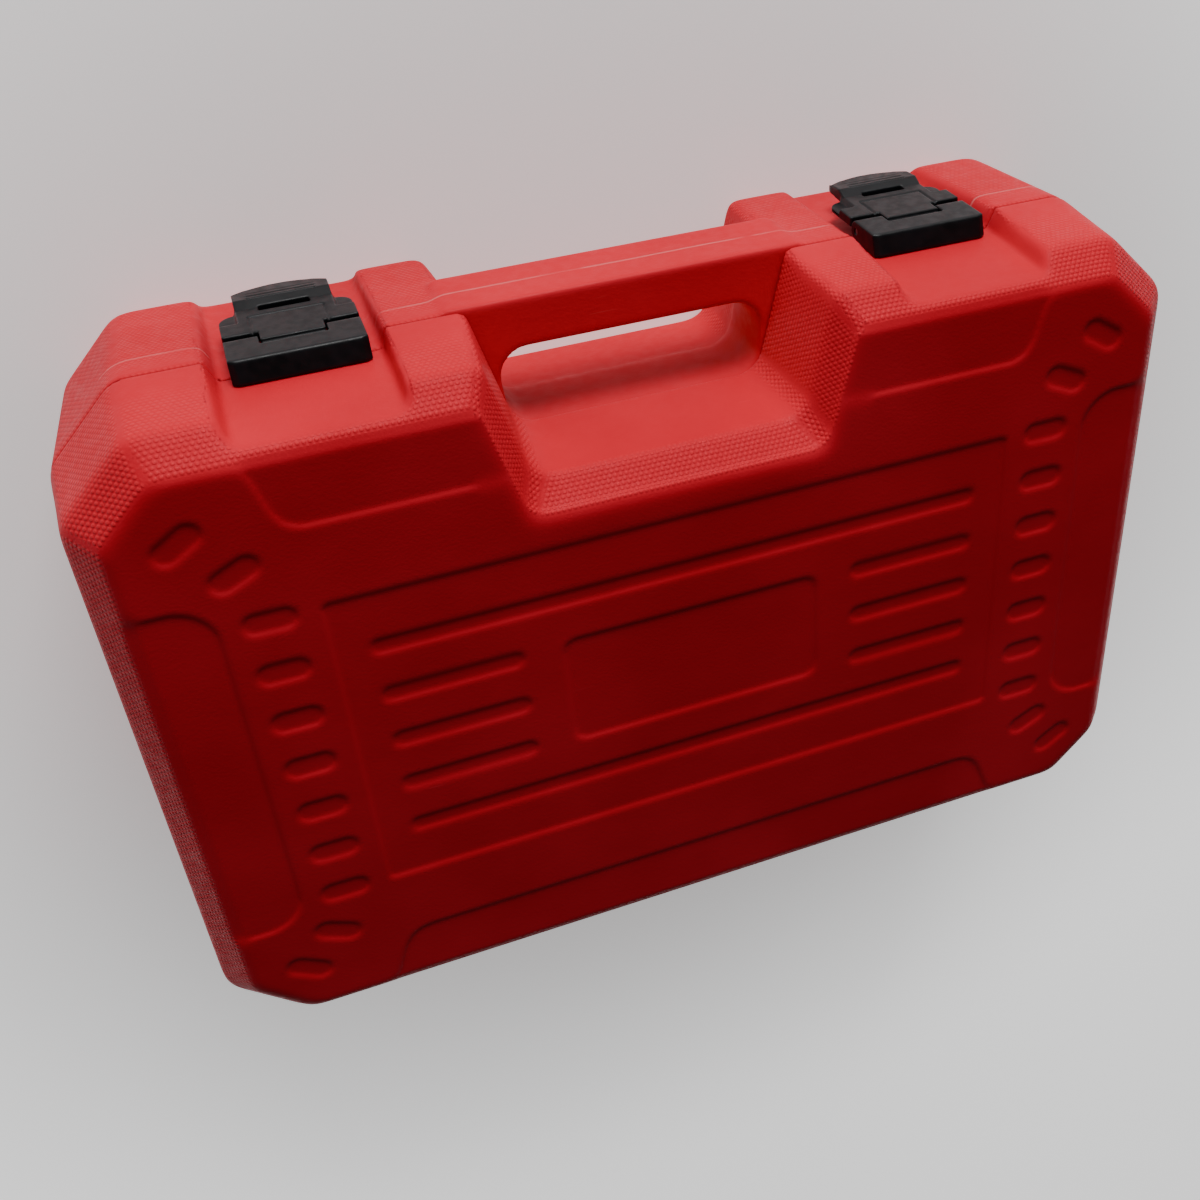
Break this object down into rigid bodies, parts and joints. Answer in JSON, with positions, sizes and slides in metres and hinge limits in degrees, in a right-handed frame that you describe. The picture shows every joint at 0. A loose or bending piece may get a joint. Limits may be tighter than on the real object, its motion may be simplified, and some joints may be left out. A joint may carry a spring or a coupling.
{
  "type": "socket wrench set in case",
  "caption": "Blow-moulded carrying case with hinged lid, two latches and moulded handle, holding sockets, ratchets, extensions, spinner and bits.",
  "frame": {"origin": "under the middle of the lid panel, on the flat back of the base", "axes": "+X along the hinge to the right latch, +Y from the hinge to the handle, +Z from the back of the base to the face of the lid"},
  "size_m": [0.366, 0.2569, 0.113],
  "materials": {
    "case_red": "soft satin with a moulded dot grain",
    "tray_red": "satin",
    "pin_steel": "zinc plated",
    "latch_black": "satin",
    "grip_black": "matt",
    "sleeve_rubber": "matt",
    "bit_steel": "satin",
    "selector_dark": "satin",
    "tool_chrome": "polished"
  },
  "bodies": {
    "base": {"base_shell": "case_red", "driver_bits": "bit_steel", "half_extension": "tool_chrome", "half_ratchet_body": "tool_chrome", "half_ratchet_grip": "grip_black", "hinge_pins": "pin_steel", "plug_socket_16": "tool_chrome", "plug_socket_16_sleeve": "sleeve_rubber", "plug_socket_21": "tool_chrome", "plug_socket_21_sleeve": "sleeve_rubber", "quarter_extension": "tool_chrome", "quarter_ratchet_body": "tool_chrome", "quarter_ratchet_grip": "grip_black", "short_extension": "tool_chrome", "socket_half_10": "tool_chrome", "socket_half_12": "tool_chrome", "socket_half_13": "tool_chrome", "socket_half_14": "tool_chrome", "socket_half_15": "tool_chrome", "socket_half_16": "tool_chrome", "socket_half_17": "tool_chrome", "socket_half_19": "tool_chrome", "socket_half_21": "tool_chrome", "socket_half_22": "tool_chrome", "socket_half_24": "tool_chrome", "socket_half_27": "tool_chrome", "socket_half_30": "tool_chrome", "socket_half_32": "tool_chrome", "socket_quarter_10": "tool_chrome", "socket_quarter_11": "tool_chrome", "socket_quarter_13": "tool_chrome", "socket_quarter_6": "tool_chrome", "socket_quarter_7": "tool_chrome", "socket_quarter_8": "tool_chrome", "spinner_handle": "grip_black", "spinner_shaft": "tool_chrome", "tray_large_ratchet": "tray_red", "tray_large_sockets": "tray_red", "tray_left_end": "tray_red", "tray_middle_sockets": "tray_red", "tray_right_end": "tray_red", "tray_small_ratchet": "tray_red", "tray_small_sockets": "tray_red"},
    "lid": {"lid_shell": "case_red", "lid_liner": "tray_red", "latch_box_left": "latch_black", "latch_box_right": "latch_black", "latch_pin_left": "pin_steel", "latch_pin_right": "pin_steel"},
    "latch_left": {"latch_lever_left": "latch_black"},
    "latch_right": {"latch_lever_right": "latch_black"},
    "half_drive": {"half_ratchet_drive_gear": "tool_chrome"},
    "half_selector": {"half_ratchet_selector": "selector_dark"},
    "half_button": {"half_ratchet_button": "selector_dark"},
    "quarter_drive": {"quarter_ratchet_drive_gear": "tool_chrome"},
    "quarter_selector": {"quarter_ratchet_selector": "selector_dark"},
    "quarter_button": {"quarter_ratchet_button": "selector_dark"}
  },
  "joints": [
    {"name": "lid_hinge", "type": "hinge", "parent": "base", "child": "lid", "pos_m": [0, -0.1275, 0.068], "axis": [1, 0, 0], "range_deg": [0, 170]},
    {"name": "latch_left", "type": "hinge", "parent": "lid", "child": "latch_left", "pos_m": [-0.105, 0.1204, 0.0594], "axis": [1, 0, 0], "range_deg": [0, 90]},
    {"name": "latch_right", "type": "hinge", "parent": "lid", "child": "latch_right", "pos_m": [0.105, 0.1204, 0.0594], "axis": [1, 0, 0], "range_deg": [0, 90]},
    {"name": "half_drive_spin", "type": "hinge", "parent": "base", "child": "half_drive", "pos_m": [-0.146, 0.033, 0.049], "axis": [0, 0, 1], "continuous": true},
    {"name": "half_selector_swing", "type": "hinge", "parent": "base", "child": "half_selector", "pos_m": [-0.146, 0.033, 0.049], "axis": [0, 0, 1], "range_deg": [-20, 20]},
    {"name": "half_button_press", "type": "slide", "parent": "half_drive", "child": "half_button", "axis": [0, 0, -1], "range_m": [0, 0.0012], "stiffness_N_per_m": 300, "springref_m": -0.003},
    {"name": "quarter_drive_spin", "type": "hinge", "parent": "base", "child": "quarter_drive", "pos_m": [-0.153, -0.007, 0.054], "axis": [0, 0, 1], "continuous": true},
    {"name": "quarter_selector_swing", "type": "hinge", "parent": "base", "child": "quarter_selector", "pos_m": [-0.153, -0.007, 0.054], "axis": [0, 0, 1], "range_deg": [-20, 20]},
    {"name": "quarter_button_press", "type": "slide", "parent": "quarter_drive", "child": "quarter_button", "axis": [0, 0, -1], "range_m": [0, 0.0008], "stiffness_N_per_m": 300, "springref_m": -0.003}
  ]
}
